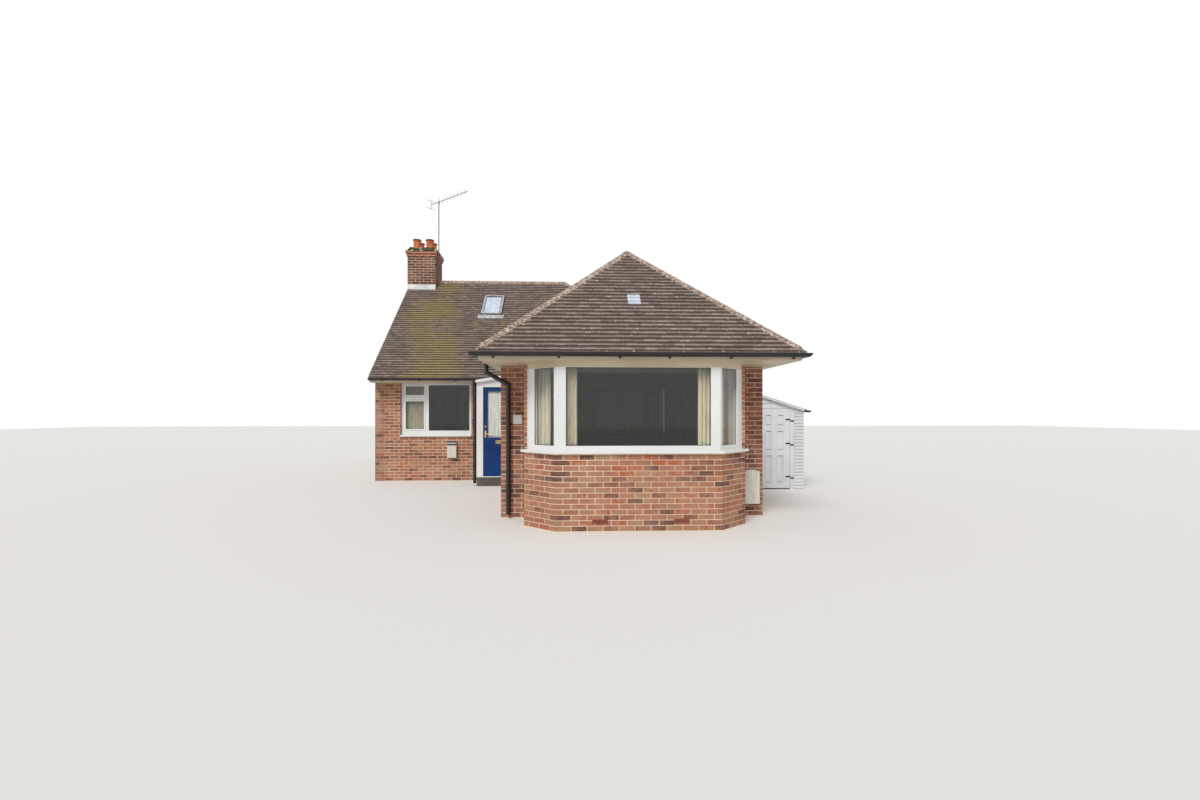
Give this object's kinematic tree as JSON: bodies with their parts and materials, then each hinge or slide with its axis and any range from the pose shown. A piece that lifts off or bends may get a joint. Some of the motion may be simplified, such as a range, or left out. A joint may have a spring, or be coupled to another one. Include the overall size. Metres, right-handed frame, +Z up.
{
  "type": "semi-detached bungalow",
  "caption": "Brick bungalow with a hipped tiled roof, a forward wing with a splayed bay window, a glazed porch with a hinged door, a chimney stack and a boarded lean-to.",
  "frame": {"origin": "on the ground under the floor slab, on the front wing's centre line and in the plane of the recessed front wall's outer face", "axes": "+X to the right seen from the street, +Y from the street to the rear, +Z up"},
  "size_m": [9.872, 12.798, 7.873],
  "materials": {
    "brick": "matt mixed red and brown stock brick with pale mortar",
    "concrete": "matt",
    "roof_tile": "weathered brown plain tiles with lichen",
    "ridge_tile": "lichened half-round tiles on pale mortar",
    "terracotta": "matt",
    "white_plastic": "white uPVC",
    "clear_glass": "clear double glazing",
    "cream_board": "cream satin paint",
    "ceiling_board": "matt",
    "black_plastic": "black uPVC rainwater goods",
    "lead": "weathered pale grey sheet",
    "grey_metal": "weathered grey",
    "white_boards": "white painted boards",
    "grey_felt": "grey mineral felt",
    "blue_paint": "royal blue gloss paint",
    "brass": "worn brass",
    "black_iron": "black painted iron",
    "curtain_cloth": "cream-olive woven cloth",
    "pale_box": "off-white moulded plastic"
  },
  "bodies": {
    "house": {"floor_slab": "concrete", "party_wall": "brick", "rear_wall": "brick", "right_wall": "brick", "wing_left_wall": "brick", "wing_front_wall": "brick", "bay_beam": "concrete", "recess_wall": "brick", "recess_pier": "brick", "doorway_lintel": "brick", "bay_plinth": "brick", "bay_cheeks": "brick", "bay_sill": "white_plastic", "bay_frame": "white_plastic", "bay_glass": "clear_glass", "ceiling": "ceiling_board", "soffit": "cream_board", "fascia": "cream_board", "roof_wing_front": "roof_tile", "roof_wing_left": "roof_tile", "roof_right": "roof_tile", "roof_main_front": "roof_tile", "roof_main_rear": "roof_tile", "hip_tiles": "ridge_tile", "ridge_tiles": "ridge_tile", "glass_tiles": "clear_glass", "rooflight_frame": "grey_metal", "rooflight_glass": "clear_glass", "lead_flashing": "lead", "gutters": "black_plastic", "downpipes": "black_plastic", "chimney_stack": "brick", "chimney_pots": "terracotta", "aerial": "grey_metal", "window_frames": "white_plastic", "window_glass": "clear_glass", "window_sills": "white_plastic", "porch_floor": "concrete", "porch_frame": "white_plastic", "porch_screen": "white_plastic", "porch_roof": "white_plastic", "lean_to_front": "white_boards", "lean_to_walls": "white_boards", "lean_to_roof": "grey_felt", "back_door": "white_plastic", "curtain_track": "white_plastic", "curtains": "curtain_cloth", "meter_boxes": "pale_box", "plaque": "pale_box", "airbricks": "terracotta"},
    "front_door_leaf": {"front_door": "blue_paint", "front_door_glass": "clear_glass", "front_door_fittings": "brass"},
    "side_door_leaf": {"side_door": "white_boards", "side_door_hinges": "black_iron"}
  },
  "joints": [
    {"name": "front_door_hinge", "type": "hinge", "parent": "house", "child": "front_door_leaf", "pos_m": [-2.1125, -1, 1.2], "axis": [0, 0, -1], "range_deg": [0, 88]},
    {"name": "side_door_hinge", "type": "hinge", "parent": "house", "child": "side_door_leaf", "pos_m": [3.6825, -1.89, 0.9], "axis": [0, 0, 1], "range_deg": [0, 100]}
  ]
}
